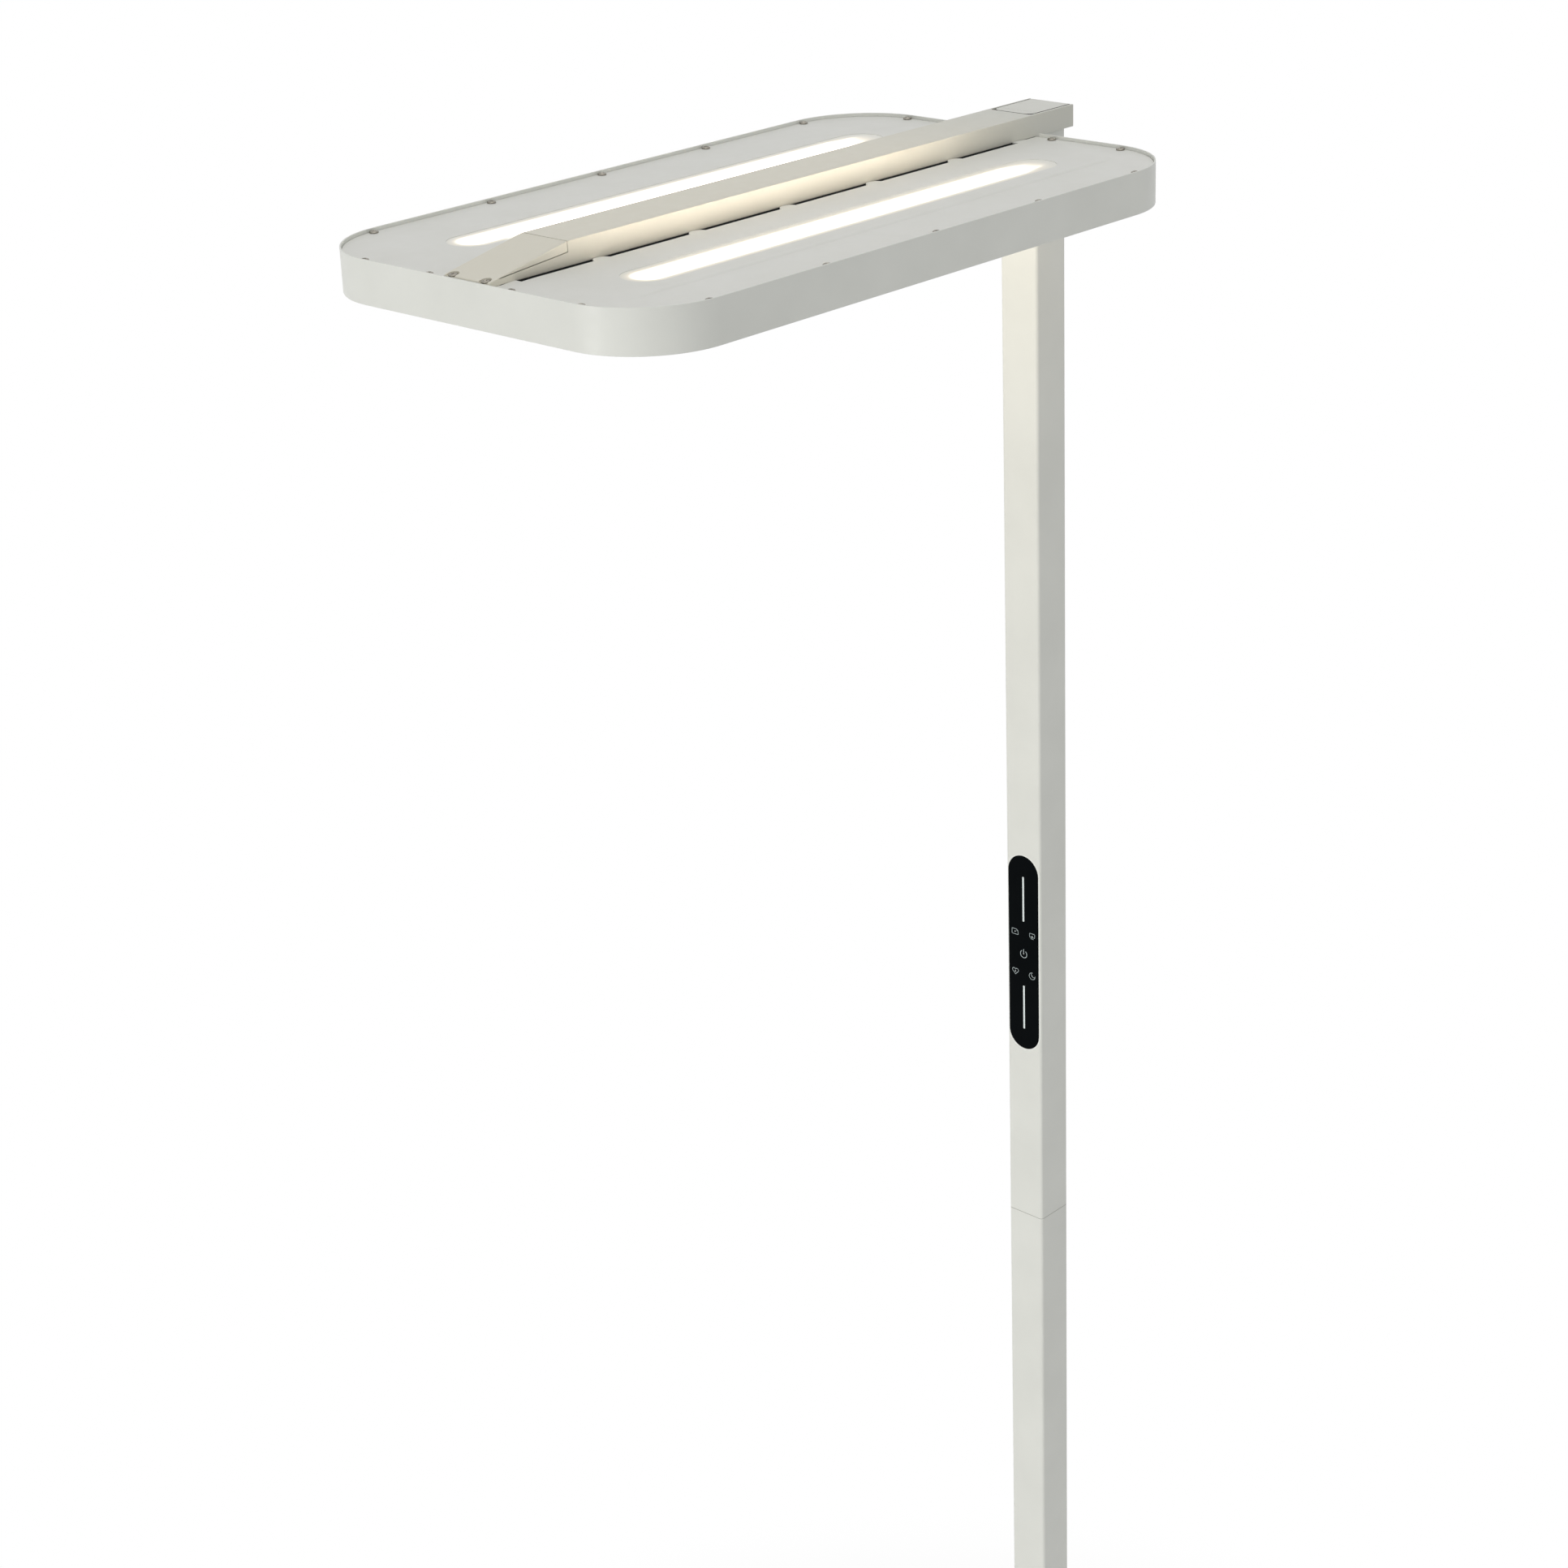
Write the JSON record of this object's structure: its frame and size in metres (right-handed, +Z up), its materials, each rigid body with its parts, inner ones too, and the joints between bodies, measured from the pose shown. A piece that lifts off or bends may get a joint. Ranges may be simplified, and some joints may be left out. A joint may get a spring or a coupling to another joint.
{
  "type": "office floor lamp",
  "caption": "Free-standing office floor lamp: flat rounded rectangular head lit above and below, on a beam and a slim square pole with a touch panel, over a flat steel base.",
  "frame": {"origin": "on the floor, on the axis of the pole, at the underside of the base pad", "axes": "+Z up along the pole; the head reaches out along -Y and the touch panel faces -Y; +X runs across the head"},
  "size_m": [0.3538, 0.6824, 2],
  "materials": {
    "powder_coat": "satin",
    "powder_coat_sheet": "satin",
    "aluminium_sheet": "satin",
    "zinc_steel": "satin",
    "black_steel": "satin",
    "stainless_screw": "satin",
    "pad_rubber": "matte",
    "opal_lens": "satin",
    "diffuser_plate": "satin",
    "clear_guide": "gloss",
    "white_foil": "matte",
    "white_plastic": "matte",
    "dark_glass": "gloss",
    "black_plastic": "matte",
    "seal_foam": "matte",
    "circuit_board": "satin",
    "sensor_board": "satin",
    "led_phosphor": "matte",
    "plated_brass": "polished",
    "lead_sheath": "matte"
  },
  "bodies": {
    "root": {"base_bolts": "zinc_steel", "base_pad": "pad_rubber", "base_plate": "powder_coat", "beam": "powder_coat", "beam_front_cap": "powder_coat_sheet", "beam_lid": "powder_coat_sheet", "beam_screws": "zinc_steel", "block_screws": "zinc_steel", "bottom_diffuser": "diffuser_plate", "cap_screws": "stainless_screw", "chassis_nuts": "zinc_steel", "chassis_plate": "aluminium_sheet", "chassis_studs": "zinc_steel", "control_lead": "lead_sheath", "cover_left": "powder_coat_sheet", "cover_right": "powder_coat_sheet", "cover_screws": "stainless_screw", "cover_standoffs": "zinc_steel", "driver_screws": "zinc_steel", "edge_board_left": "circuit_board", "edge_board_right": "circuit_board", "edge_leds_left": "led_phosphor", "edge_leds_right": "led_phosphor", "foot_screws": "zinc_steel", "guide_frame": "white_plastic", "head_block": "aluminium_sheet", "head_bolts": "zinc_steel", "head_rim": "powder_coat", "head_spine": "black_steel", "inlet_pins": "plated_brass", "joint_screws": "zinc_steel", "led_driver_left": "white_plastic", "led_driver_right": "white_plastic", "light_guide": "clear_guide", "mains_inlet": "black_plastic", "mains_lead": "lead_sheath", "pole_foot": "zinc_steel", "pole_joint": "zinc_steel", "pole_lower": "powder_coat", "pole_upper": "powder_coat", "reflector_foil": "white_foil", "rim_brackets": "aluminium_sheet", "terminal_block": "white_plastic", "touch_board": "sensor_board", "touch_carrier": "black_plastic", "touch_gasket": "seal_foam", "touch_glass": "dark_glass", "uplight_board_left": "circuit_board", "uplight_board_right": "circuit_board", "uplight_leds_left": "led_phosphor", "uplight_leds_right": "led_phosphor", "uplight_lens_left": "opal_lens", "uplight_lens_right": "opal_lens", "uplight_reflector_left": "white_foil", "uplight_reflector_right": "white_foil"}
  },
  "joints": []
}
